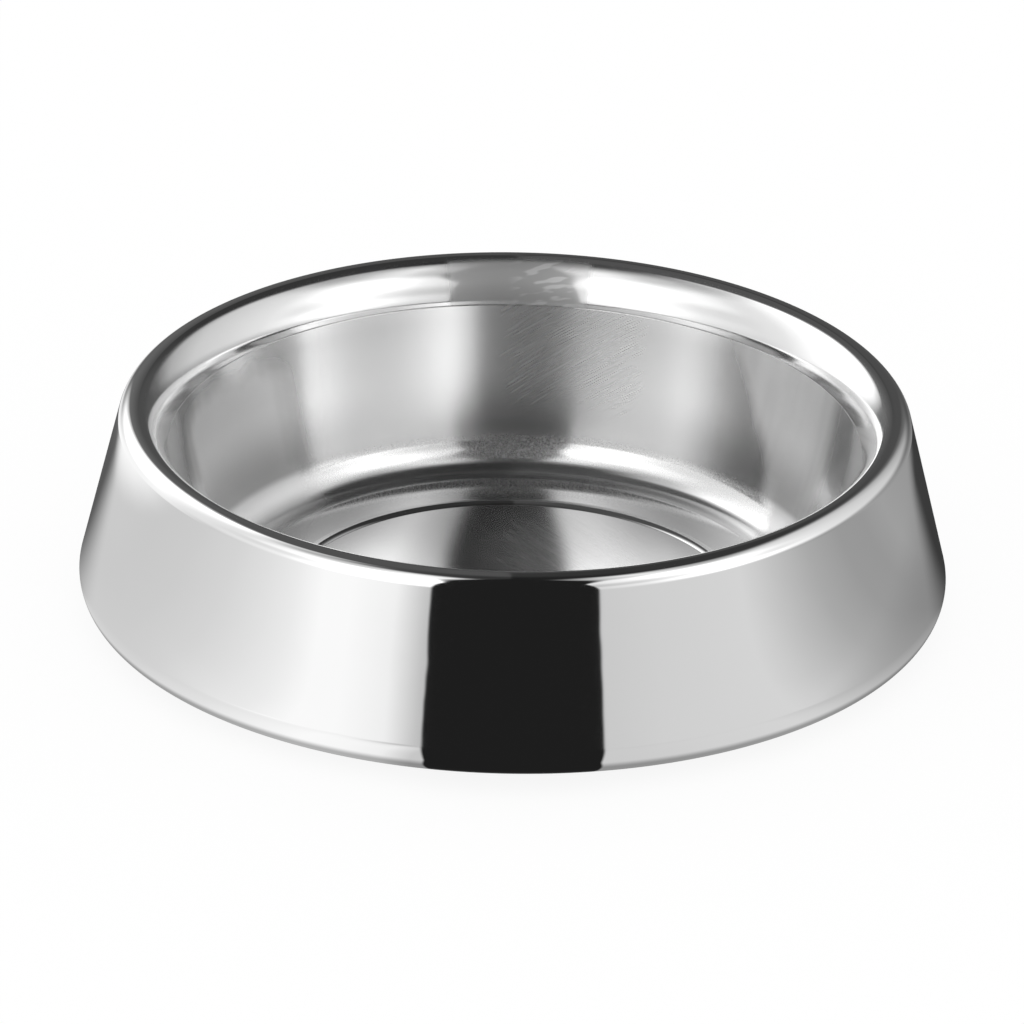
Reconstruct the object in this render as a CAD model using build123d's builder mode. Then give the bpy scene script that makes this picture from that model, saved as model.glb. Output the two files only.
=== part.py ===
import os
from math import acos, atan2, cos, degrees, hypot, radians, sin

from build123d import *

os.makedirs("parts", exist_ok=True)

# Sizes in mm. Z is up, the table is at Z = 0 and the bowl's axis is the Z axis.

# Both steel pressings
sheet = 0.8

# Widest part of the skirt, and how far it stands out past the middle of the rim
base_radius = 100.0
skirt_flare = 12.5

# Rim and the lip that turns in from it
rim_top = 50.0
rim_round = 4.1
lip_start_tilt = 50.0
lip_round = 14.2

# Food well
wall_top_tilt = 9.0
wall_foot_tilt = 20.0
corner_round = 9.7
floor_top = 3.0

# Shallow disc pressed into the floor, and the flat border left round it
disc_border = 9.0
disc_drop = 0.8
disc_edge_round = 2.2
disc_corner_round = 0.4

# Lap seam where the food well hangs behind the lip
lap_length = 4.5
lap_gap = 0.05
lap_ramp = 3.0

# Rolled hem of the skirt
hem_bottom = 3.0
hem_round = 6.5
hem_flat = 2.5
hem_inner_round = 2.5

# Channel behind the hem that holds the rubber ring
channel_width = 10.0
channel_roof = 8.0
channel_corner = 1.0
channel_leg_bottom = 4.2

# Rubber ring
ring_gap = 0.2
ring_edge_round = 0.8
tread_width = 1.2
tread_depth = 0.8
tread_pitch = 2.8


def on_circle(centre, radius, angle):
    """Point of a circle in the section plane, angle in degrees from the radius direction."""
    return (centre[0] + radius * cos(radians(angle)), centre[1] + radius * sin(radians(angle)))


# Centres of the rim round and of the lip round, which meet with one tangent
rim_centre = (base_radius - skirt_flare, rim_top - rim_round)
lip_start = on_circle(rim_centre, rim_round, 180 - lip_start_tilt)
lip_centre = on_circle(lip_start, lip_round, -lip_start_tilt)
seam = on_circle(lip_centre, lip_round, 180 - wall_top_tilt)

# Wall arc from the seam down to the corner round, tangent to both
corner_start_height = floor_top + corner_round - corner_round * sin(radians(wall_foot_tilt))
wall_round = (seam[1] - corner_start_height) / (sin(radians(wall_foot_tilt)) - sin(radians(wall_top_tilt)))
wall_centre = on_circle(seam, wall_round, 180 - wall_top_tilt)
wall_foot = on_circle(wall_centre, wall_round, -wall_foot_tilt)
corner_centre = on_circle(wall_foot, corner_round, 180 - wall_foot_tilt)

# Step of the floor disc: a round edge and a tight corner that share one tangent
step_turn = degrees(acos(1 - disc_drop / (disc_edge_round + disc_corner_round)))
step_width = (disc_edge_round + disc_corner_round) * sin(radians(step_turn))
disc_top = floor_top - disc_drop
disc_edge_centre = (corner_centre[0] - disc_border, floor_top - disc_edge_round)
disc_corner_centre = (disc_edge_centre[0] - step_width, disc_top + disc_corner_round)

# Skirt line, tangent to the rim round and to the hem round
hem_centre = (base_radius - hem_round, hem_bottom + hem_round)
skirt_run = hypot(hem_centre[0] - rim_centre[0], hem_centre[1] - rim_centre[1])
skirt_fall = atan2(hem_centre[1] - rim_centre[1], hem_centre[0] - rim_centre[0])
skirt_tilt = degrees(skirt_fall + acos((rim_round - hem_round) / skirt_run))

# Channel radii shared by the skirt and the rubber ring
channel_outer = base_radius - hem_round - hem_flat - hem_inner_round
channel_inner = channel_outer - channel_width

# Lap flange of the food well, concentric with the back of the lip
lap_face = lip_round - sheet - lap_gap
lap_back = lap_face - sheet
lap_turn = degrees(lap_length / lap_face)
lap_end_angle = 180 - wall_top_tilt - lap_turn
ramp_turn = degrees(lap_ramp / wall_round)


def arc(centre, radius, first, last):
    """Arc of a section outline from one angle to the other, in degrees."""
    middle = (first + last) / 2
    ThreePointArc(on_circle(centre, radius, first), on_circle(centre, radius, middle), on_circle(centre, radius, last))


# Food well: one pressing, with a shoulder and a flange that hang behind the lip
with BuildPart() as food_well:
    with BuildSketch(Plane.XZ):
        with BuildLine():
            # Top face, from the axis out to the seam
            Line((0, disc_top), (disc_corner_centre[0], disc_top))
            arc(disc_corner_centre, disc_corner_round, -90, -90 + step_turn)
            arc(disc_edge_centre, disc_edge_round, 90 + step_turn, 90)
            Line((disc_edge_centre[0], floor_top), (corner_centre[0], floor_top))
            arc(corner_centre, corner_round, -90, -wall_foot_tilt)
            arc(wall_centre, wall_round, -wall_foot_tilt, -wall_top_tilt)
            offset(amount=sheet, side=Side.RIGHT)
        make_face()
        # Flange that hangs behind the lip, with a ramp where it leaves the wall
        with BuildLine():
            arc(lip_centre, lap_face, 180 - wall_top_tilt, lap_end_angle)
            Line(on_circle(lip_centre, lap_face, lap_end_angle), on_circle(lip_centre, lap_back, lap_end_angle))
            arc(lip_centre, lap_back, lap_end_angle, 180 - wall_top_tilt)
            Line(
                on_circle(lip_centre, lap_back, 180 - wall_top_tilt),
                on_circle(wall_centre, wall_round + sheet, -wall_top_tilt - ramp_turn),
            )
            arc(wall_centre, wall_round + sheet, -wall_top_tilt - ramp_turn, -wall_top_tilt)
            Line(
                on_circle(wall_centre, wall_round + sheet, -wall_top_tilt),
                on_circle(lip_centre, lap_face, 180 - wall_top_tilt),
            )
        make_face()
    revolve(axis=Axis.Z)
food_well.part.label = "food_well"

# Outer shell: lip, rim, skirt, hem and ring channel in one pressing
with BuildPart() as outer_shell:
    with BuildSketch(Plane.XZ):
        with BuildLine():
            # Polished face, from the seam over the rim and down to the channel
            arc(lip_centre, lip_round, 180 - wall_top_tilt, 180 - lip_start_tilt)
            arc(rim_centre, rim_round, 180 - lip_start_tilt, skirt_tilt)
            Line(on_circle(rim_centre, rim_round, skirt_tilt), on_circle(hem_centre, hem_round, skirt_tilt))
            arc(hem_centre, hem_round, skirt_tilt, -90)
            Line((hem_centre[0], hem_bottom), (hem_centre[0] - hem_flat, hem_bottom))
            arc((channel_outer + hem_inner_round, hem_bottom + hem_inner_round), hem_inner_round, 270, 180)
            Line((channel_outer, hem_bottom + hem_inner_round), (channel_outer, channel_roof - channel_corner))
            arc((channel_outer - channel_corner, channel_roof - channel_corner), channel_corner, 0, 90)
            Line((channel_outer - channel_corner, channel_roof), (channel_inner + channel_corner, channel_roof))
            arc((channel_inner + channel_corner, channel_roof - channel_corner), channel_corner, 90, 180)
            Line((channel_inner, channel_roof - channel_corner), (channel_inner, channel_leg_bottom))
            offset(amount=sheet, side=Side.RIGHT)
        make_face()
    revolve(axis=Axis.Z)
outer_shell.part.label = "outer_shell"

# Non-slip ring: moulded rubber, snug in the channel, with two tread grooves underneath
ring_outer = channel_outer - ring_gap
ring_inner = channel_inner + ring_gap
ring_middle = (ring_outer + ring_inner) / 2
ring_top_round = channel_corner + ring_gap
tread_inner = ring_middle - tread_pitch / 2
tread_outer = ring_middle + tread_pitch / 2
with BuildPart() as non_slip_ring:
    with BuildSketch(Plane.XZ):
        with BuildLine():
            # Tread face on the table, then up the outer side and back down the inner side
            Line((ring_inner + ring_edge_round, 0), (ring_outer - ring_edge_round, 0))
            arc((ring_outer - ring_edge_round, ring_edge_round), ring_edge_round, -90, 0)
            Line((ring_outer, ring_edge_round), (ring_outer, channel_roof - ring_top_round))
            arc((ring_outer - ring_top_round, channel_roof - ring_top_round), ring_top_round, 0, 90)
            Line((ring_outer - ring_top_round, channel_roof), (ring_inner + ring_top_round, channel_roof))
            arc((ring_inner + ring_top_round, channel_roof - ring_top_round), ring_top_round, 90, 180)
            Line((ring_inner, channel_roof - ring_top_round), (ring_inner, ring_edge_round))
            arc((ring_inner + ring_edge_round, ring_edge_round), ring_edge_round, 180, 270)
        make_face()
        with Locations((tread_inner, tread_depth / 2), (tread_outer, tread_depth / 2)):
            Rectangle(tread_width, tread_depth, mode=Mode.SUBTRACT)
    revolve(axis=Axis.Z)
non_slip_ring.part.label = "non_slip_ring"

export_step(food_well.part, "parts/food_well.step")
export_step(outer_shell.part, "parts/outer_shell.step")
export_step(non_slip_ring.part, "parts/non_slip_ring.step")
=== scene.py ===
from math import acos, atan2, ceil, cos, hypot, pi, radians, sin, tau

import bmesh
import bpy
from mathutils import Matrix, Vector


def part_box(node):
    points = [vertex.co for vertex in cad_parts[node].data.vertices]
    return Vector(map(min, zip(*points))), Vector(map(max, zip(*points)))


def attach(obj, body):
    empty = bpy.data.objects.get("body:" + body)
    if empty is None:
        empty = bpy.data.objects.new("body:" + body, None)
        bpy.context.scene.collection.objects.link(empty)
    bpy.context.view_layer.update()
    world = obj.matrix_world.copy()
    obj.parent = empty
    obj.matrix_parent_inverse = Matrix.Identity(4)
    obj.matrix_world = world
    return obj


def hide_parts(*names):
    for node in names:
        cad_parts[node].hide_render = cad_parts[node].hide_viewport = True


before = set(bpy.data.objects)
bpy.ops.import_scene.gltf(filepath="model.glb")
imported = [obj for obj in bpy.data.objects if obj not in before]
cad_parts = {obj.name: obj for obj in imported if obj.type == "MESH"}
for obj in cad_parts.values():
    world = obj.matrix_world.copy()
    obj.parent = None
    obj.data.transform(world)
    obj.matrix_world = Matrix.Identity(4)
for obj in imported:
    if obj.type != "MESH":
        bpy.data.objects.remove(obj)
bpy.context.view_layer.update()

bl_info = {
    "name": "Steel pet bowl",
    "version": (1, 0, 0),
    "blender": (4, 5, 0),
    "location": "3D View > Sidebar > Pet bowl",
    "description": "Models a skirted steel pet bowl on its packed frame and sets it in a light tent",
    "category": "Object",
}

SHELL_LOW, SHELL_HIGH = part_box("outer_shell")
WELL_LOW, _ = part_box("food_well")
_, RING_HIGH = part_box("non_slip_ring")

# Steps of a full turn round the bowl's axis, and the largest turn of one step along a section's arcs
ROUND_STEPS = 256
SHOWN_TURN = radians(2.5)
HIDDEN_TURN = radians(10)
LEAST_ARC_STEPS = 3
MERGE_DISTANCE = 1e-6

# Thickness of the sheet, which is also how far the disc's top lies above the well's lowest point
SHEET = 0.0008

# A section starts from a small plane, merged to one vertex
SEED_SIZE = 0.001

# Edges that turn by more than the first are broken, and faces that turn by less than the second look smooth
BREAK_TURN = radians(50)
SMOOTH_TURN = radians(40)
FLAT_WEIGHT = 90

WHITE = (1.0, 1.0, 1.0, 1.0)


def length(name, description, default):
    """A length in metres."""
    return bpy.props.FloatProperty(
        name=name, description=description, default=default, unit="LENGTH", precision=5
    )


def tilt(name, description, default):
    """An angle, given in degrees."""
    return bpy.props.FloatProperty(
        name=name, description=description, default=radians(default), subtype="ANGLE"
    )


def colour(name, description, default):
    """A linear colour."""
    return bpy.props.FloatVectorProperty(
        name=name, description=description, default=default, subtype="COLOR", min=0.0, max=1.0
    )


def share(name, description, default):
    """A number from 0 to 1."""
    return bpy.props.FloatProperty(
        name=name, description=description, default=default, subtype="FACTOR", min=0.0, max=1.0
    )


class BowlSizes(bpy.types.PropertyGroup):
    """Sizes of the two pressings and the rubber ring."""

    sheet: length("Sheet", "Thickness of both steel pressings", SHEET)
    edge_break: length("Edge break", "Width of the broken edge where a sheet ends", 0.00012)
    base_radius: length("Base radius", "Widest part of the skirt", SHELL_HIGH.x)
    skirt_flare: length("Skirt flare", "How far the base stands out past the middle of the rim", 0.0125)
    rim_top: length("Rim top", "Height of the rim's crest", SHELL_HIGH.z)
    rim_round: length("Rim round", "Radius of the rolled rim", 0.0041)
    lip_start_tilt: tilt("Lip start", "Tilt of the face where the rim passes into the lip", 50)
    lip_round: length("Lip round", "Radius of the lip that turns down into the bowl", 0.0142)
    wall_top_tilt: tilt("Wall top tilt", "Tilt of the well's wall at the seam", 9)
    wall_foot_tilt: tilt("Wall foot tilt", "Tilt of the well's wall above the corner", 20)
    corner_round: length("Corner round", "Radius between the well's wall and its floor", 0.0097)
    disc_top: length("Disc top", "Height of the disc pressed into the floor", WELL_LOW.z + SHEET)
    disc_drop: length("Disc drop", "Depth of that disc below the floor's border", 0.0008)
    disc_border: length("Disc border", "Flat border between the disc and the corner", 0.009)
    disc_edge_round: length("Disc edge round", "Radius of the disc's upper edge", 0.0044)
    disc_corner_round: length("Disc corner round", "Radius at the foot of the disc's edge", 0.0004)
    lap_length: length("Lap length", "Length of the flange that hangs behind the lip", 0.0045)
    lap_gap: length("Lap gap", "Gap between the flange and the back of the lip", 0.00005)
    hem_bottom: length("Hem bottom", "Height of the hem above the table", SHELL_LOW.z)
    hem_round: length("Hem round", "Radius of the rolled hem", 0.0065)
    hem_flat: length("Hem flat", "Flat land under the hem", 0.0025)
    hem_inner_round: length("Hem inner round", "Radius where the hem turns up into the channel", 0.0025)
    channel_width: length("Channel width", "Width of the channel that holds the ring", 0.010)
    channel_roof: length("Channel roof", "Height of the channel's roof", RING_HIGH.z)
    channel_corner: length("Channel corner", "Radius of the channel's corners", 0.001)
    channel_leg_bottom: length("Channel leg", "Height of the channel's inner edge", 0.0042)
    ring_gap: length("Ring gap", "Gap between the ring and the sides of its channel", 0.0002)
    ring_edge_round: length("Ring edge round", "Radius of the ring's lower edges", 0.0008)
    tread_width: length("Tread width", "Width of each groove in the ring's tread", 0.0012)
    tread_depth: length("Tread depth", "Depth of each groove in the ring's tread", 0.0008)
    tread_pitch: length("Tread pitch", "Distance between the two grooves", 0.0028)


class BowlFinishes(bpy.types.PropertyGroup):
    """Colours and polish of the bowl's surfaces."""

    polished_colour: colour("Polished steel", "Colour of the mirror-polished shell", (0.82, 0.82, 0.82))
    satin_colour: colour("Satin steel", "Colour of the food well", (0.86, 0.86, 0.86))
    mill_colour: colour("Mill steel", "Colour of the unpolished backs of the sheets", (0.50, 0.50, 0.51))
    rubber_colour: colour("Rubber", "Colour of the non-slip ring", (0.02, 0.02, 0.021))
    polished_roughness: share("Polish", "Roughness of the mirror-polished shell", 0.03)
    satin_roughness: share("Satin", "Roughness of the food well", 0.14)


class BowlStage(bpy.types.PropertyGroup):
    """Camera and light tent."""

    view_distance: length("View distance", "From the camera to the bowl", 6.0)
    view_elevation: tilt("View elevation", "Height of the camera above the horizon", 25.217)
    view_roll: tilt("View roll", "Turn of the camera about its own axis", 1.021)
    view_width: length("View width", "Width of the picture at the bowl", 0.23641)
    view_aim: bpy.props.FloatVectorProperty(
        name="View aim",
        description="Point in the middle of the picture",
        default=(-0.00038, 0.0, 0.02441),
        subtype="XYZ",
        unit="LENGTH",
        precision=5,
    )
    tent_radius: length("Tent radius", "Radius of the light tent and of its ground", 0.75)
    floor_size: length("Floor size", "Side of the floor", 8.0)
    floor_shade: share("Floor shade", "How much of the bowl's shadow the white floor shows", 0.1)


def on_circle(centre, radius, angle):
    """Point of a circle in the section plane, as radius and height. The angle is from the radius axis."""
    return (centre[0] + radius * cos(angle), centre[1] + radius * sin(angle))


class BowlSection:
    """Centres of the section's arcs, worked out from the sizes."""

    def __init__(self, sizes):
        # Rim round and lip round meet with one tangent, and the lip ends at the seam
        self.rim = (sizes.base_radius - sizes.skirt_flare, sizes.rim_top - sizes.rim_round)
        lip_start = on_circle(self.rim, sizes.rim_round, pi - sizes.lip_start_tilt)
        self.lip = on_circle(lip_start, sizes.lip_round, -sizes.lip_start_tilt)
        self.seam = on_circle(self.lip, sizes.lip_round, pi - sizes.wall_top_tilt)

        # Wall arc from the seam to the corner round, tangent to both
        self.floor_top = sizes.disc_top + sizes.disc_drop
        corner_start = self.floor_top + sizes.corner_round * (1 - sin(sizes.wall_foot_tilt))
        wall_rise = sin(sizes.wall_foot_tilt) - sin(sizes.wall_top_tilt)
        self.wall_round = (self.seam[1] - corner_start) / wall_rise
        self.wall = on_circle(self.seam, self.wall_round, pi - sizes.wall_top_tilt)
        wall_foot = on_circle(self.wall, self.wall_round, -sizes.wall_foot_tilt)
        self.corner = on_circle(wall_foot, sizes.corner_round, pi - sizes.wall_foot_tilt)

        # Step down to the disc: a round edge and a tight corner with one tangent
        rounds = sizes.disc_edge_round + sizes.disc_corner_round
        self.step_turn = acos(1 - sizes.disc_drop / rounds)
        self.disc_edge = (self.corner[0] - sizes.disc_border, self.floor_top - sizes.disc_edge_round)
        disc_radius = self.disc_edge[0] - rounds * sin(self.step_turn)
        self.disc_corner = (disc_radius, sizes.disc_top + sizes.disc_corner_round)

        # Skirt line, tangent to the rim round and to the hem round
        self.hem = (sizes.base_radius - sizes.hem_round, sizes.hem_bottom + sizes.hem_round)
        run = (self.hem[0] - self.rim[0], self.hem[1] - self.rim[1])
        self.skirt_tilt = atan2(run[1], run[0]) + acos((sizes.rim_round - sizes.hem_round) / hypot(*run))

        # Sides of the channel under the hem
        self.channel_outer = sizes.base_radius - sizes.hem_round - sizes.hem_flat - sizes.hem_inner_round
        self.channel_inner = self.channel_outer - sizes.channel_width


class SectionPen:
    """Draws a section in the XZ plane of a new mesh, as by hand: one vertex is extruded along straight runs
    and spun round the centres of round ones. Points are pairs of radius and height."""

    def __init__(self, name, start):
        bpy.ops.object.select_all(action="DESELECT")
        bpy.ops.mesh.primitive_plane_add(size=SEED_SIZE)
        self.piece = bpy.context.object
        self.piece.name = name
        self.piece.data.name = name
        bpy.ops.object.mode_set(mode="EDIT")
        bpy.ops.mesh.merge(type="CENTER")
        bpy.ops.transform.translate(value=(start[0], 0, start[1]))
        self.at = start

    def line(self, end):
        """Straight run from where the pen is."""
        step = (end[0] - self.at[0], 0, end[1] - self.at[1])
        bpy.ops.mesh.extrude_region_move(TRANSFORM_OT_translate={"value": step})
        self.at = end

    def arc(self, centre, turn, step_turn=SHOWN_TURN):
        """Round run about a centre, anticlockwise for a positive turn."""
        steps = max(ceil(abs(turn) / step_turn), LEAST_ARC_STEPS)
        bpy.ops.mesh.spin(steps=steps, angle=turn, center=(centre[0], 0, centre[1]), axis=(0, 1, 0))
        start = atan2(self.at[1] - centre[1], self.at[0] - centre[0])
        self.at = on_circle(centre, hypot(self.at[0] - centre[0], self.at[1] - centre[1]), start + turn)

    def revolve(self):
        """Spins the section round the bowl's axis, closes the seam and the pole, and leaves edit mode."""
        bpy.ops.mesh.select_all(action="SELECT")
        bpy.ops.mesh.spin(steps=ROUND_STEPS, angle=tau, center=(0, 0, 0), axis=(0, 0, 1), use_auto_merge=True)
        bpy.ops.mesh.select_all(action="SELECT")
        bpy.ops.mesh.remove_doubles(threshold=MERGE_DISTANCE)
        bpy.ops.mesh.normals_make_consistent(inside=False)
        bpy.ops.object.mode_set(mode="OBJECT")
        return self.piece


def face_along(piece, spot, direction):
    """Turns an open sheet's faces so that the one nearest to a spot looks along a direction."""
    nearest = min(piece.data.polygons, key=lambda face: (face.center - spot).length)
    if nearest.normal.dot(direction) < 0:
        bpy.ops.object.mode_set(mode="EDIT")
        bpy.ops.mesh.select_all(action="SELECT")
        bpy.ops.mesh.flip_normals()
        bpy.ops.object.mode_set(mode="OBJECT")


def apply_modifier(piece, kind, **settings):
    """Adds one modifier to the active piece and applies it."""
    bpy.ops.object.modifier_add(type=kind)
    modifier = piece.modifiers[-1]
    for name, value in settings.items():
        setattr(modifier, name, value)
    bpy.ops.object.modifier_apply(modifier=modifier.name)


def thicken_sheet(piece, sheet):
    """Gives a face its sheet thickness. The back takes the second material."""
    apply_modifier(
        piece,
        "SOLIDIFY",
        thickness=sheet,
        offset=-1,
        use_even_offset=True,
        material_offset=1,
        material_offset_rim=0,
    )


def finish_surface(piece, edge_break):
    """Breaks the sharp edges, shades the rounds smooth and keeps the flats true."""
    apply_modifier(
        piece,
        "BEVEL",
        width=edge_break,
        segments=2,
        limit_method="ANGLE",
        angle_limit=BREAK_TURN,
        profile=0.5,
    )
    bpy.ops.object.shade_smooth_by_angle(angle=SMOOTH_TURN)
    apply_modifier(piece, "WEIGHTED_NORMAL", weight=FLAT_WEIGHT, keep_sharp=True)


def hand_over(piece, node):
    """Puts a finished piece in the place of its node. It has to be closed."""
    mesh = bmesh.new()
    mesh.from_mesh(piece.data)
    open_edges = sum(1 for edge in mesh.edges if not edge.is_manifold)
    mesh.free()
    if open_edges:
        raise RuntimeError(f"{piece.name} has {open_edges} open edges")
    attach(piece, "root")
    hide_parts(node)


class Signal:
    """An output socket, so that shader maths reads as plain expressions."""

    def __init__(self, shader, socket):
        self.shader = shader
        self.socket = socket

    def math(self, operation, *values):
        """Result of a Math node on some values."""
        inputs = dict(enumerate(values))
        return self.shader.node("ShaderNodeMath", {"operation": operation}, inputs)

    def __add__(self, other):
        return self.math("ADD", self, other)

    def __radd__(self, other):
        return self.math("ADD", other, self)

    def __sub__(self, other):
        return self.math("SUBTRACT", self, other)

    def __rsub__(self, other):
        return self.math("SUBTRACT", other, self)

    def __mul__(self, other):
        return self.math("MULTIPLY", self, other)

    def __rmul__(self, other):
        return self.math("MULTIPLY", other, self)

    def __truediv__(self, other):
        return self.math("DIVIDE", self, other)

    def __pow__(self, other):
        return self.math("POWER", self, other)

    def __abs__(self):
        return self.math("ABSOLUTE", self)


class Shader:
    """A node tree that is being written."""

    def __init__(self, tree):
        self.tree = tree
        tree.nodes.clear()

    def node(self, kind, settings=None, inputs=None, output=0):
        """Adds a node: its type, its settings, then values or links for its sockets. Returns one output."""
        made = self.tree.nodes.new(kind)
        for name, value in (settings or {}).items():
            if name == "stops":
                self.set_stops(made.color_ramp, value)
            else:
                setattr(made, name, value)
        for name, value in (inputs or {}).items():
            if isinstance(value, Signal):
                self.tree.links.new(value.socket, made.inputs[name])
            else:
                made.inputs[name].default_value = value
        return Signal(self, made.outputs[output]) if made.outputs else None

    @staticmethod
    def set_stops(ramp, stops):
        """Sets a ramp's stops from pairs of place and colour."""
        for _ in range(len(stops) - len(ramp.elements)):
            ramp.elements.new(1.0)
        for element, (place, shade) in zip(ramp.elements, stops):
            element.position = place
            element.color = (*shade, 1.0)


def new_material(name):
    """A material with an empty node tree, and the shader that writes it."""
    material = bpy.data.materials.new(name)
    material.use_nodes = True
    return material, Shader(material.node_tree)


def between(value, low, high, to_low=0.0, to_high=1.0):
    """Smooth step of a value between two limits."""
    inputs = {"Value": value, "From Min": low, "From Max": high, "To Min": to_low, "To Max": to_high}
    return value.shader.node("ShaderNodeMapRange", {"interpolation_type": "SMOOTHSTEP"}, inputs, "Result")


def noise(place, scale, detail=2.0, roughness=0.5):
    """Soft noise from 0 to 1, with its scale in patches for each metre."""
    inputs = {"Vector": place, "Scale": scale, "Detail": detail, "Roughness": roughness}
    return place.shader.node("ShaderNodeTexNoise", {"noise_dimensions": "3D"}, inputs, 0)


def joined(shader, x, y, z):
    """Vector from three values."""
    return shader.node("ShaderNodeCombineXYZ", None, {"X": x, "Y": y, "Z": z})


def parted(place):
    """The three values of a vector."""
    shader = place.shader
    return [shader.node("ShaderNodeSeparateXYZ", None, {"Vector": place}, axis) for axis in ("X", "Y", "Z")]


def tinted(value, full_colour, low):
    """Colour that goes from a share of itself up to the full colour as a value goes from 0 to 1."""
    dim = [part * low for part in full_colour]
    stops = [(0.0, dim), (1.0, list(full_colour))]
    return value.shader.node("ShaderNodeValToRGB", {"stops": stops}, {0: value})


def raised(height, depth):
    """Normal of a surface with a fine relief, its depth in metres."""
    inputs = {"Height": height, "Strength": 1.0, "Distance": depth}
    return height.shader.node("ShaderNodeBump", None, inputs)


def show_surface(shader, surface):
    """Ends a tree with its output."""
    shader.node("ShaderNodeOutputMaterial", None, {"Surface": surface})


# How often a turned mark changes on its way round, as a scale of its noise
MARKS_IN_A_TURN = 3

# Bands in which the finishes of the bowl and its painted shade begin or end, as radii or heights in metres
LIP_END = (0.0846, 0.0862)
WALL_START = (0.060, 0.070)
SHADED_FLOOR_END = (0.0034, 0.006)
PEEL_START = (0.0046, 0.0062)
PEEL_END = (0.009, 0.013)
SHADED_FOOT_START = (0.0085, 0.0105)
SHADED_FOOT_END = (0.012, 0.026)
SCOURED_LEFT_END = (0.030, 0.044)
RUBBED_START = (0.006, 0.024)

# The scoured patch on the right starts on a slant: at heights that fall by so much for each radian of turn
SCOURED_RIGHT_SLANT = 0.0955
SCOURED_RIGHT_START = (0.0945, 0.1085)

# Patches of the finishes and of the painted shade, in degrees of turn from the back: where they begin, where
# they end, and how softly
LIP_PATCH = (-11.2, 11.6, 0.7)
LIP_STROKES = (0, 9, 2)
# The back, where the painted shade at the foot of the wall is lifted
BRIGHT_BACK = (-30, 30, 14)
SCOURED_LEFT = (-74, -43, 8)
SCOURED_RIGHT = (38, 70, 10)
RUBBED_BACK = (-4, 24, 6)
FAR_SIDE = (-78, 78, 12)

# Slants of the rubs on the lip, of those on the scoured sides and of those on the far wall
LIP_RUB_SLANT = radians(8)
SCOURED_SLANT = radians(88)
WALL_RUB_SLANT = radians(32)

# Radii of the lip and of the wall that their rubs are drawn on
LIP_RUB_RADIUS = 0.083
WALL_RUB_RADIUS = 0.077

# Roughness of the haze on both steels, and how much of it a smudge adds
HAZE_ROUGHNESS = 0.42
HAZE_SMUDGE = 0.1

# Brushing runs round the axis, a quarter turn off the direction that the shader takes by itself
BRUSH_TURN = 0.25
WELL_BRUSHING = 0.4


class BowlPlace:
    """Where a point of the bowl's surface lies: radius, height, and turn round the axis from the back."""

    def __init__(self, shader):
        self.point = shader.node("ShaderNodeTexCoord", output="Object")
        self.x, self.y, self.z = parted(self.point)
        self.radius = (self.x * self.x + self.y * self.y) ** 0.5
        self.turn = self.x.math("ARCTAN2", self.x, self.y)

    def turned_marks(self, fineness):
        """Marks of a tool that runs round the axis, with so many of them for each metre of the section."""
        shader = self.x.shader
        track = (self.radius + self.z) * fineness
        ring_x = self.x / self.radius * MARKS_IN_A_TURN
        ring_y = self.y / self.radius * MARKS_IN_A_TURN
        return noise(joined(shader, ring_x, ring_y, track), 1.0)

    def rub_marks(self, radius, slant, rub_length, rub_width):
        """Straight rubs on a wall of one radius, at a slant, with their length and width in metres."""
        shader = self.x.shader
        across = self.turn * radius
        along_rub = across * cos(slant) + self.z * sin(slant)
        over_rub = self.z * cos(slant) - across * sin(slant)
        return noise(joined(shader, along_rub / rub_length, over_rub / rub_width, 0.0), 1.0, 1.0)

    def patch(self, first, last, soft):
        """1 between two turns from the back, in degrees, and 0 outside."""
        rising = between(self.turn, radians(first - soft), radians(first + soft))
        return rising * between(self.turn, radians(last - soft), radians(last + soft), 1.0, 0.0)


def steel_surface(steel, base, relief, roughness, haze, haze_roughness, brushed=0.0):
    """Steel with a sharp polish under a fine haze. Brushing draws reflections out along the section."""
    shared = {"Base Color": base, "Metallic": 1.0, "Normal": relief}
    brush = {"Anisotropic": brushed, "Anisotropic Rotation": BRUSH_TURN}
    sharp = steel.node("ShaderNodeBsdfPrincipled", None, {**shared, **brush, "Roughness": roughness})
    hazy = steel.node("ShaderNodeBsdfPrincipled", None, {**shared, "Roughness": haze_roughness})
    return steel.node("ShaderNodeMixShader", None, {0: haze, 1: sharp, 2: hazy})


def polished_steel(finishes):
    """Mirror polish: faintly wavy, with soft smudges, and with a hazy patch on the lip at the back."""
    material, steel = new_material("shell_mirror_polish")
    place = BowlPlace(steel)
    smudge = noise(place.point, scale=35, detail=3.0)
    wave = noise(place.point, scale=90, detail=1.0)
    on_lip = between(place.radius, *LIP_END, 1.0, 0.0)
    patch = on_lip * place.patch(*LIP_PATCH)
    rubs = place.rub_marks(LIP_RUB_RADIUS, LIP_RUB_SLANT, rub_length=0.006, rub_width=0.0014)
    strokes = place.patch(*LIP_STROKES) * between(rubs, 0.5, 0.62)
    surface = steel_surface(
        steel,
        base=tinted(smudge, finishes.polished_colour, low=0.97),
        relief=raised(wave, depth=0.000025),
        roughness=finishes.polished_roughness + 0.02 * smudge + 0.04 * on_lip,
        haze=0.06 * on_lip + patch * (0.52 + 0.25 * strokes),
        haze_roughness=HAZE_ROUGHNESS + HAZE_SMUDGE * smudge,
    )
    show_surface(steel, surface)
    return material


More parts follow.
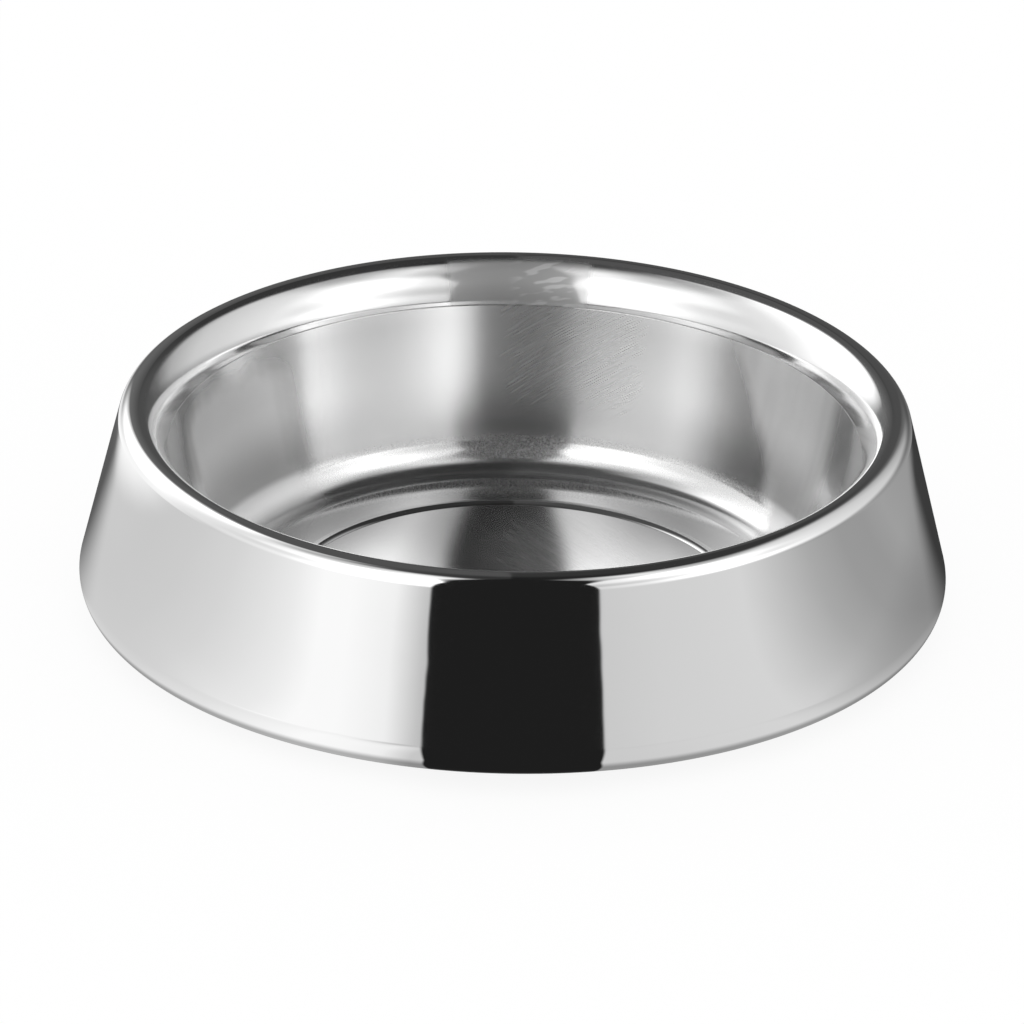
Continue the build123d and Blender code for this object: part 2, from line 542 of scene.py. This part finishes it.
def satin_steel(finishes):
    """Satin polish: scoured at the sides, rubbed at a slant at the back, with orange peel at the corner. Its
    base colour carries painted shade on the floor and at the foot of the wall, except at the back.
    """
    material, steel = new_material("well_satin_polish")
    place = BowlPlace(steel)
    smudge = noise(place.point, scale=60, detail=3.0)
    on_wall = between(place.radius, *WALL_START)
    # Painted shade: the base colour is painted darker on the floor and at the foot of the wall, except at the
    # back
    shaded_floor = between(place.z, *SHADED_FLOOR_END, 1.0, 0.0)
    shaded_sides = 1 - 0.8 * place.patch(*BRIGHT_BACK)
    shaded_foot = shaded_sides * between(place.z, *SHADED_FOOT_START) * between(place.z, *SHADED_FOOT_END, 1.0, 0.0)
    bright = 1 - 0.55 * shaded_foot - 0.25 * shaded_floor
    # Scoured patches at the sides, with streaky borders
    upright_rubs = place.rub_marks(WALL_RUB_RADIUS, SCOURED_SLANT, rub_length=0.05, rub_width=0.006)
    streaks = 0.4 * (upright_rubs - 0.5)
    scoured_left = place.patch(*SCOURED_LEFT) * between(place.z, *SCOURED_LEFT_END, 1.0, 0.0)
    slanted_height = place.z + SCOURED_RIGHT_SLANT * place.turn
    scoured_right = place.patch(*SCOURED_RIGHT) * between(slanted_height, *SCOURED_RIGHT_START)
    scoured = between(scoured_left + scoured_right * 0.8 + streaks, 0.1, 0.9)
    # Rubs at the back, and haze all over the near side
    rubbed = place.patch(*RUBBED_BACK) * between(place.z, *RUBBED_START)
    slanting_rubs = place.rub_marks(WALL_RUB_RADIUS, WALL_RUB_SLANT, rub_length=0.014, rub_width=0.0006)
    strokes = between(slanting_rubs, 0.44, 0.74)
    near_side = 1 - place.patch(*FAR_SIDE)
    worn = 0.36 * near_side + 0.95 * scoured + rubbed * (0.19 + 0.13 * strokes)
    # Orange peel, where the sheet was drawn hardest
    on_corner = between(place.z, *PEEL_START) * between(place.z, *PEEL_END, 1.0, 0.0)
    peel = noise(place.point, scale=1800, detail=2.0)
    speckle = between(peel, 0.45, 0.62)
    surface = steel_surface(
        steel,
        base=tinted(bright * (0.9 + 0.1 * smudge), finishes.satin_colour, low=0.2),
        relief=raised(0.03 * place.turned_marks(2500) + 0.4 * on_corner * peel, depth=0.00001),
        roughness=finishes.satin_roughness * (0.35 + 0.65 * on_wall) + 0.03 * (smudge - 0.5),
        haze=(0.05 + worn) * on_wall + on_corner * (0.18 + 0.12 * speckle),
        haze_roughness=HAZE_ROUGHNESS + HAZE_SMUDGE * smudge,
        brushed=WELL_BRUSHING,
    )
    show_surface(steel, surface)
    return material


def mill_steel(finishes):
    """Unpolished backs of the sheets: dull, with a fine mottle."""
    material, steel = new_material("sheet_back")
    place = steel.node("ShaderNodeTexCoord", output="Object")
    mottle = noise(place, scale=400, detail=4.0, roughness=0.6)
    inputs = {
        "Base Color": tinted(mottle, finishes.mill_colour, low=0.8),
        "Metallic": 1.0,
        "Roughness": 0.32 + 0.12 * mottle,
        "Normal": raised(mottle, depth=0.00001),
    }
    show_surface(steel, steel.node("ShaderNodeBsdfPrincipled", None, inputs))
    return material


def black_rubber(finishes):
    """Matt moulded rubber with a fine grain and a little dust."""
    material, rubber = new_material("ring_rubber")
    place = rubber.node("ShaderNodeTexCoord", output="Object")
    grain = noise(place, scale=2500, detail=3.0)
    dust = noise(place, scale=120, detail=3.0)
    inputs = {
        "Base Color": tinted(dust, finishes.rubber_colour, low=0.6),
        "Roughness": 0.62 + 0.2 * grain,
        "Normal": raised(grain, depth=0.00003),
    }
    show_surface(rubber, rubber.node("ShaderNodeBsdfPrincipled", None, inputs))
    return material


class BOWL_OT_food_well(bpy.types.Operator):
    """Model the food well: floor, disc, corner, wall and the flange behind the lip"""

    bl_idname = "bowl.food_well"
    bl_label = "Food well"

    def execute(self, context):
        sizes = context.scene.bowl_sizes
        section = BowlSection(sizes)
        lap_face = sizes.lip_round - sizes.sheet - sizes.lap_gap

        pen = SectionPen("food_well_pressing", (0.0, sizes.disc_top))
        pen.line((section.disc_corner[0], sizes.disc_top))
        pen.arc(section.disc_corner, section.step_turn, HIDDEN_TURN)
        pen.arc(section.disc_edge, -section.step_turn)
        pen.line((section.corner[0], section.floor_top))
        pen.arc(section.corner, pi / 2 - sizes.wall_foot_tilt)
        pen.arc(section.wall, sizes.wall_foot_tilt - sizes.wall_top_tilt, SHOWN_TURN / 2)
        # Shoulder under the lip's edge, then the flange behind the lip
        pen.line(on_circle(section.lip, lap_face, pi - sizes.wall_top_tilt))
        pen.arc(section.lip, -sizes.lap_length / lap_face, HIDDEN_TURN)
        well = pen.revolve()

        border = Vector((section.corner[0] - sizes.disc_border / 2, 0, section.floor_top))
        face_along(well, border, Vector((0, 0, 1)))
        finishes = context.scene.bowl_finishes
        well.data.materials.append(satin_steel(finishes))
        well.data.materials.append(mill_steel(finishes))
        thicken_sheet(well, sizes.sheet)
        finish_surface(well, sizes.edge_break)
        hand_over(well, "food_well")
        return {"FINISHED"}


class BOWL_OT_outer_shell(bpy.types.Operator):
    """Model the outer shell: lip, rolled rim, flared skirt, rolled hem and the ring's channel"""

    bl_idname = "bowl.outer_shell"
    bl_label = "Outer shell"

    def execute(self, context):
        sizes = context.scene.bowl_sizes
        section = BowlSection(sizes)
        outer = section.channel_outer
        inner = section.channel_inner
        corner_height = sizes.channel_roof - sizes.channel_corner
        hem_turn_in = (outer + sizes.hem_inner_round, sizes.hem_bottom + sizes.hem_inner_round)

        pen = SectionPen("outer_shell_pressing", section.seam)
        pen.arc(section.lip, sizes.wall_top_tilt - sizes.lip_start_tilt, SHOWN_TURN / 2)
        pen.arc(section.rim, section.skirt_tilt + sizes.lip_start_tilt - pi)
        pen.line(on_circle(section.hem, sizes.hem_round, section.skirt_tilt))
        pen.arc(section.hem, -section.skirt_tilt - pi / 2)
        pen.line((section.hem[0] - sizes.hem_flat, sizes.hem_bottom))
        pen.arc(hem_turn_in, -pi / 2, HIDDEN_TURN)
        # Channel: up its outer side, along its roof and down its inner side
        pen.line((outer, corner_height))
        pen.arc((outer - sizes.channel_corner, corner_height), pi / 2, HIDDEN_TURN)
        pen.line((inner + sizes.channel_corner, sizes.channel_roof))
        pen.arc((inner + sizes.channel_corner, corner_height), pi / 2, HIDDEN_TURN)
        pen.line((inner, sizes.channel_leg_bottom))
        shell = pen.revolve()

        skirt = Vector(((section.rim[0] + sizes.base_radius) / 2, 0, sizes.rim_top / 2))
        face_along(shell, skirt, Vector((1, 0, 0)))
        finishes = context.scene.bowl_finishes
        shell.data.materials.append(polished_steel(finishes))
        shell.data.materials.append(bpy.data.materials["sheet_back"])
        thicken_sheet(shell, sizes.sheet)
        finish_surface(shell, sizes.edge_break)
        hand_over(shell, "outer_shell")
        return {"FINISHED"}


class BOWL_OT_non_slip_ring(bpy.types.Operator):
    """Model the rubber ring with its rounded edges and its two tread grooves"""

    bl_idname = "bowl.non_slip_ring"
    bl_label = "Non-slip ring"

    def execute(self, context):
        sizes = context.scene.bowl_sizes
        section = BowlSection(sizes)
        outer = section.channel_outer - sizes.ring_gap
        inner = section.channel_inner + sizes.ring_gap
        edge = sizes.ring_edge_round
        top_round = sizes.channel_corner + sizes.ring_gap
        top_height = sizes.channel_roof - top_round
        middle = (inner + outer) / 2

        pen = SectionPen("rubber_ring", (inner + edge, 0.0))
        # Tread on the table, with a groove on each side of its middle land
        for groove in (middle - sizes.tread_pitch / 2, middle + sizes.tread_pitch / 2):
            near = groove - sizes.tread_width / 2
            far = groove + sizes.tread_width / 2
            pen.line((near, 0.0))
            pen.line((near, sizes.tread_depth))
            pen.line((far, sizes.tread_depth))
            pen.line((far, 0.0))
        pen.line((outer - edge, 0.0))
        pen.arc((outer - edge, edge), pi / 2, HIDDEN_TURN)
        pen.line((outer, top_height))
        pen.arc((outer - top_round, top_height), pi / 2, HIDDEN_TURN)
        pen.line((inner + top_round, sizes.channel_roof))
        pen.arc((inner + top_round, top_height), pi / 2, HIDDEN_TURN)
        pen.line((inner, edge))
        pen.arc((inner + edge, edge), pi / 2, HIDDEN_TURN)
        ring = pen.revolve()

        ring.data.materials.append(black_rubber(context.scene.bowl_finishes))
        finish_surface(ring, sizes.edge_break)
        hand_over(ring, "non_slip_ring")
        return {"FINISHED"}


# Strength of the tent's cloth, of which the glows below are shares, and the steps of a turn round the tent
TENT_STRENGTH = 1.4
TENT_STEPS = 96

# Degrees of a half turn, of a right angle and of a radian
HALF_TURN = 180
RIGHT_ANGLE = 90
RADIAN = HALF_TURN / pi

# The gap that the camera looks through: how bright it is, and the Y in metres at which its edges meet
GAP_GLOW = 0.011
GAP_APEX = -0.048

# Bearings of the gap's edges on the left and on the right, what is added to them high up, the height at which
# that starts, what is added at the bowl's foot, the edges' softness and what high up adds to it, in degrees
GAP_EDGES = (22.3, 24.0)
GAP_TOP_EDGES = (6.5, 12.5)
GAP_TOP_START = (40.0, 60.0)
GAP_FOOT = 0.9
GAP_SOFTNESS = 0.5
GAP_TOP_SOFTNESS = 5

# Height of the panels' upper edges by bearing, as a share of a right angle
LEFT_TOPS = [
    (0, 0.81), (60, 0.81), (85, 0.76), (115, 0.77), (125, 0.69),
    (135, 0.58), (150, 0.48), (165, 0.39), (180, 0.35),
]
RIGHT_TOPS = [
    (0, 0.81), (60, 0.84), (95, 0.79), (105, 0.72), (120, 0.64),
    (135, 0.57), (150, 0.48), (165, 0.39), (180, 0.35),
]

# Glow of the panels by bearing off the front
LEFT_PANEL = [
    (22, 1.0), (31, 1.25), (45, 1.25), (55, 1.0), (65, 0.78), (75, 0.7), (88, 0.65),
    (101, 0.7), (118, 1.0), (136, 1.5), (150, 0.9), (157, 0.12), (180, 0.06),
]
RIGHT_PANEL = [
    (24, 0.61), (36, 0.75), (46, 1.0), (58, 1.35), (70, 1.15), (80, 0.88), (95, 0.68),
    (112, 0.59), (128, 0.52), (142, 0.36), (151, 0.12), (158, 0.06), (180, 0.06),
]

# Glow where the panels meet the ground, which the skirt shows
LEFT_SKYLINE = [
    (22, 0.46), (30, 0.76), (42, 0.84), (50, 0.84), (58, 0.73), (66, 0.66),
    (76, 0.58), (88, 0.53), (100, 0.51), (146, 0.51), (158, 0.1), (180, 0.06),
]
RIGHT_SKYLINE = [
    (22, 0.51), (37, 0.55), (52, 0.57), (62, 0.58), (67, 0.53), (75, 0.43), (82, 0.35), (92, 0.28),
    (100, 0.27), (108, 0.3), (118, 0.27), (127, 0.25), (142, 0.14), (152, 0.07), (180, 0.06),
]

# Glow of the nearest ground, which the hem shows
LEFT_GROUND = [
    (14, 0.5), (18.5, 0.76), (24, 0.82), (31, 0.84), (38.5, 0.77),
    (50, 0.66), (67, 0.57), (85, 0.53), (100, 0.5), (180, 0.4),
]
RIGHT_GROUND = [
    (16, 0.52), (31, 0.56), (45, 0.58), (51, 0.54), (58, 0.46), (67, 0.38),
    (76, 0.32), (86, 0.26), (95, 0.21), (104, 0.2), (180, 0.2),
]

# Heights in degrees: where the panels rise from the skyline, dim, brighten again and fade, where the ceiling
# dims, and how soft the edge between panels and ceiling is
PANEL_START = (2.0, 16.0)
DIM_START = (18.0, 27.0)
DIM_END = (29.0, 44.0)
BRIGHT_START = (31.0, 42.0)
FADE_START = (50.0, 62.0)
CEILING_DIMS = (65.0, 88.0)
TOP_SOFTNESS = 7.0

# Shares on the left and on the right by which the panels dim, brighten and fade, the ceiling's glow on the
# left and on the right, and the share of it that is left right overhead
DIM_BY = (0.1, 0.22)
BRIGHTEN_BY = (0.25, 0.1)
FADE_BY = (0.45, 0.5)
CEILING_GLOW = (0.07, 0.03)
CEILING_LEAST = 0.4

# Bearings off the front, in degrees, at which the front half of the panels ends
FRONT_END = (75.0, 95.0)

# The brighter stretch of the skyline behind: its bearings in degrees, how far behind the axis it starts in
# metres, how much nearer that comes for each metre off to the side, and its glow on the left and on the right
STRETCH_START = (86.0, 114.0)
STRETCH_END = (130.0, 155.0)
STRETCH_BEHIND = (0.115, 0.155)
STRETCH_SLANT = 0.25
STRETCH_GLOW = (0.3, 0.0)

# Reaches on the ground, in metres from the bowl's axis, and its glow under the bowl and in the foot's shade
UNDER_BOWL_END = (0.086, 0.096)
FOOT_SHADE_END = (0.0975, 0.1035)
GAP_FOOT_END = (0.0975, 0.104)
NEAR_GROUND_END = (0.115, 0.2)
UNDER_GLOW = 0.2
FOOT_SHADE = 0.45

# The dark strip behind the bowl, in metres: where it starts to end sidewards on the left and on the right,
# where it has ended, how that moves out for each metre behind, where it starts behind, and its last reach
STRIP_EDGES = (0.077, 0.09)
STRIP_END = 0.122
STRIP_SLANT = 0.5
STRIP_START_BEHIND = (-0.01, 0.01)
STRIP_REACH_END = (0.165, 0.195)
STRIP_DARKNESS = 0.84


class TentPlace:
    """Where a point of the tent or of its ground lies. Bearings are in degrees rightwards from the front."""

    def __init__(self, shader):
        place = shader.node("ShaderNodeTexCoord", output="Object")
        self.x, self.y, self.z = parted(place)
        self.reach = (self.x * self.x + self.y * self.y) ** 0.5
        self.bearing = self.bearing_from(0.0)
        self.height = self.z.math("ARCTAN2", self.z, self.reach) * RADIAN
        self.on_right = self.x.math("GREATER_THAN", self.x, 0.0)

    def bearing_from(self, apex):
        """Bearing from a point of the line that goes from the bowl to the camera."""
        return self.x.math("ARCTAN2", self.x, apex - self.y) * RADIAN

    def sides(self, left, right):
        """One value on the left, another on the right."""
        return left + (right - left) * self.on_right

    def by_bearing(self, left, right):
        """Glow by bearing off the front, with its own stops on the left and on the right."""
        shader = self.x.shader
        share_of_half_turn = abs(self.bearing) / HALF_TURN
        ramps = []
        for stops in (left, right):
            grey = [(bearing / HALF_TURN, (glow, glow, glow)) for bearing, glow in stops]
            ramps.append(shader.node("ShaderNodeValToRGB", {"stops": grey}, {0: share_of_half_turn}))
        return self.sides(*ramps)

    def gap(self, foot=0.0):
        """1 in the gap that the camera looks through, 0 beside it. It may stand out further at its foot."""
        high = between(self.height, *GAP_TOP_START)
        widening = self.sides(*GAP_TOP_EDGES) * high
        off_edge = abs(self.bearing_from(GAP_APEX)) - self.sides(*GAP_EDGES) - widening - foot
        soft = GAP_SOFTNESS + GAP_TOP_SOFTNESS * high
        return 1 - between(off_edge, -1 * soft, soft)


def skyline(place):
    """Glow where the tent meets its ground, with a brighter stretch behind on the left."""
    around = abs(place.bearing)
    stretch = between(around, *STRETCH_START) * between(around, *STRETCH_END, 1.0, 0.0)
    beyond = stretch * between(place.y + STRETCH_SLANT * abs(place.x), *STRETCH_BEHIND)
    return place.by_bearing(LEFT_SKYLINE, RIGHT_SKYLINE) + place.sides(*STRETCH_GLOW) * beyond


def show_glow(material, shader, glow):
    """Ends the tree of a cloth that only glows. Reflections find it by themselves, so it isn't sampled."""
    show_surface(shader, shader.node("ShaderNodeEmission", None, {"Color": glow, "Strength": TENT_STRENGTH}))
    material.cycles.emission_sampling = "NONE"


def tent_cloth():
    """Tent: a bright panel on each side, a dim ceiling, and the camera's gap between the panels."""
    material, tent = new_material("tent_cloth")
    place = TentPlace(tent)
    panels = place.by_bearing(LEFT_PANEL, RIGHT_PANEL)
    risen = between(place.height, *PANEL_START)
    in_front = between(abs(place.bearing), *FRONT_END, 1.0, 0.0)
    dim_band = between(place.height, *DIM_START) * between(place.height, *DIM_END, 1.0, 0.0) * in_front
    above = 1 + place.sides(*BRIGHTEN_BY) * between(place.height, *BRIGHT_START) * in_front
    fading = 1 - place.sides(*FADE_BY) * between(place.height, *FADE_START)
    levels = (1 - place.sides(*DIM_BY) * dim_band) * above * fading
    sides = (skyline(place) * (1 - risen) + panels * risen) * levels
    top = place.by_bearing(LEFT_TOPS, RIGHT_TOPS) * RIGHT_ANGLE
    overhead = between(place.height - top, -TOP_SOFTNESS, TOP_SOFTNESS)
    ceiling = place.sides(*CEILING_GLOW) * between(place.height, *CEILING_DIMS, 1.0, CEILING_LEAST)
    gap = place.gap()
    glow = (sides * (1 - overhead) + ceiling * overhead) * (1 - gap) + GAP_GLOW * gap
    show_glow(material, tent, glow)
    return material


def tent_ground():
    """Ground of the tent: it carries on the skyline, and is darker behind the bowl and at the bowl's foot."""
    material, ground = new_material("tent_ground")
    place = TentPlace(ground)
    near = place.by_bearing(LEFT_GROUND, RIGHT_GROUND)
    away = between(place.reach, *NEAR_GROUND_END)
    # A dark strip behind the bowl on each side, which edges the skirt
    off_middle = abs(place.x) - STRIP_SLANT * place.y
    strip = between(off_middle, place.sides(*STRIP_EDGES), STRIP_END, STRIP_DARKNESS, 0.0)
    behind = between(place.y, *STRIP_START_BEHIND) * between(place.reach, *STRIP_REACH_END, 1.0, 0.0)
    shaded = between(place.reach, *FOOT_SHADE_END, FOOT_SHADE, 1.0)
    lit = (near * (1 - away) + skyline(place) * away) * (1 - strip * behind) * shaded
    gap = place.gap(between(place.reach, *GAP_FOOT_END, GAP_FOOT, 0.0))
    # Under the bowl, where only its underside sees the ground, the glow is even
    under = between(place.reach, *UNDER_BOWL_END, 1.0, 0.0)
    glow = (lit * (1 - gap) + GAP_GLOW * gap) * (1 - under) + UNDER_GLOW * under
    show_glow(material, ground, glow)
    return material


def floor_white(shade):
    """White floor that shows part of the bowl's soft shadow, and nothing from below."""
    material, floor = new_material("floor_white")
    paper = floor.node("ShaderNodeBsdfDiffuse", None, {"Color": WHITE})
    glow = floor.node("ShaderNodeEmission", None, {"Color": WHITE, "Strength": 1.0})
    top = floor.node("ShaderNodeMixShader", None, {0: shade, 1: glow, 2: paper})
    clear = floor.node("ShaderNodeBsdfTransparent", None, {"Color": WHITE})
    below = floor.node("ShaderNodeNewGeometry", output="Backfacing")
    show_surface(floor, floor.node("ShaderNodeMixShader", None, {0: below, 1: top, 2: clear}))
    return material


def seen_by(thing, camera=False, glossy=False):
    """Limits a stage object to the camera or to reflections. None of them lights the floor."""
    thing.visible_camera = camera
    thing.visible_glossy = glossy
    thing.visible_diffuse = False
    thing.visible_shadow = False


# Width of the camera's sensor in mm, and how far it sees in metres
SENSOR_WIDTH = 36.0
VIEW_REACH = 100.0


class BOWL_OT_stage(bpy.types.Operator):
    """Set the white floor, the light tent, the white surroundings and the camera"""

    bl_idname = "bowl.stage"
    bl_label = "Stage"

    def execute(self, context):
        stage = context.scene.bowl_stage
        self.make_floor(stage)
        self.make_tent(stage)
        self.make_surroundings(context.scene)
        self.make_camera(context.scene, stage)
        context.scene.view_settings.view_transform = "Standard"
        return {"FINISHED"}

    def make_floor(self, stage):
        bpy.ops.object.select_all(action="DESELECT")
        bpy.ops.mesh.primitive_plane_add(size=stage.floor_size)
        floor = bpy.context.object
        floor.name = "floor"
        floor.data.materials.append(floor_white(stage.floor_shade))
        seen_by(floor, camera=True)

    def make_tent(self, stage):
        bpy.ops.object.select_all(action="DESELECT")
        rings = TENT_STEPS // 2
        bpy.ops.mesh.primitive_uv_sphere_add(segments=TENT_STEPS, ring_count=rings, radius=stage.tent_radius)
        tent = bpy.context.object
        tent.name = "light_tent"
        bpy.ops.object.mode_set(mode="EDIT")
        bpy.ops.mesh.select_all(action="SELECT")
        bpy.ops.mesh.bisect(plane_co=(0, 0, 0), plane_no=(0, 0, 1), clear_inner=True)
        bpy.ops.object.mode_set(mode="OBJECT")
        tent.data.materials.append(tent_cloth())
        seen_by(tent, glossy=True)

        bpy.ops.object.select_all(action="DESELECT")
        bpy.ops.mesh.primitive_circle_add(vertices=TENT_STEPS, radius=stage.tent_radius, fill_type="NGON")
        card = bpy.context.object
        card.name = "tent_ground"
        card.data.materials.append(tent_ground())
        seen_by(card, glossy=True)

    def make_surroundings(self, scene):
        scene.world = bpy.data.worlds.new("white_surroundings")
        scene.world.use_nodes = True
        world = Shader(scene.world.node_tree)
        light = world.node("ShaderNodeBackground", None, {"Color": WHITE, "Strength": 1.0})
        world.node("ShaderNodeOutputWorld", None, {"Surface": light})

    def make_camera(self, scene, stage):
        aim = Vector(stage.view_aim)
        back = Vector((0, -cos(stage.view_elevation), sin(stage.view_elevation)))
        bpy.ops.object.camera_add()
        camera = bpy.context.object
        camera.name = "photo_view"
        eye = Vector((0, 0, scene.bowl_sizes.hem_bottom)) + back * stage.view_distance
        turn = (aim - eye).to_track_quat("-Z", "Y").to_matrix().to_4x4()
        camera.matrix_world = Matrix.Translation(eye) @ turn @ Matrix.Rotation(stage.view_roll, 4, "Z")
        camera.data.sensor_width = SENSOR_WIDTH
        camera.data.lens = SENSOR_WIDTH * stage.view_distance / stage.view_width
        camera.data.clip_end = VIEW_REACH
        scene.camera = camera


class BOWL_PT_sidebar(bpy.types.Panel):
    """Lists the bowl's pieces, sizes and finishes"""

    bl_label = "Pet bowl"
    bl_idname = "BOWL_PT_sidebar"
    bl_space_type = "VIEW_3D"
    bl_region_type = "UI"
    bl_category = "Pet bowl"

    def draw(self, context):
        for operator in PIECE_OPERATORS:
            self.layout.operator(operator.bl_idname)
        for group in (context.scene.bowl_sizes, context.scene.bowl_finishes, context.scene.bowl_stage):
            box = self.layout.box()
            for name in group.__annotations__:
                box.prop(group, name)


PIECE_OPERATORS = (BOWL_OT_food_well, BOWL_OT_outer_shell, BOWL_OT_non_slip_ring, BOWL_OT_stage)
CLASSES = (BowlSizes, BowlFinishes, BowlStage, *PIECE_OPERATORS, BOWL_PT_sidebar)


def register():
    for made in CLASSES:
        bpy.utils.register_class(made)
    bpy.types.Scene.bowl_sizes = bpy.props.PointerProperty(type=BowlSizes)
    bpy.types.Scene.bowl_finishes = bpy.props.PointerProperty(type=BowlFinishes)
    bpy.types.Scene.bowl_stage = bpy.props.PointerProperty(type=BowlStage)


def unregister():
    del bpy.types.Scene.bowl_stage
    del bpy.types.Scene.bowl_finishes
    del bpy.types.Scene.bowl_sizes
    for made in reversed(CLASSES):
        bpy.utils.unregister_class(made)


def main():
    register()
    bpy.ops.bowl.food_well()
    bpy.ops.bowl.outer_shell()
    bpy.ops.bowl.non_slip_ring()
    bpy.ops.bowl.stage()


if __name__ == "__main__":
    main()
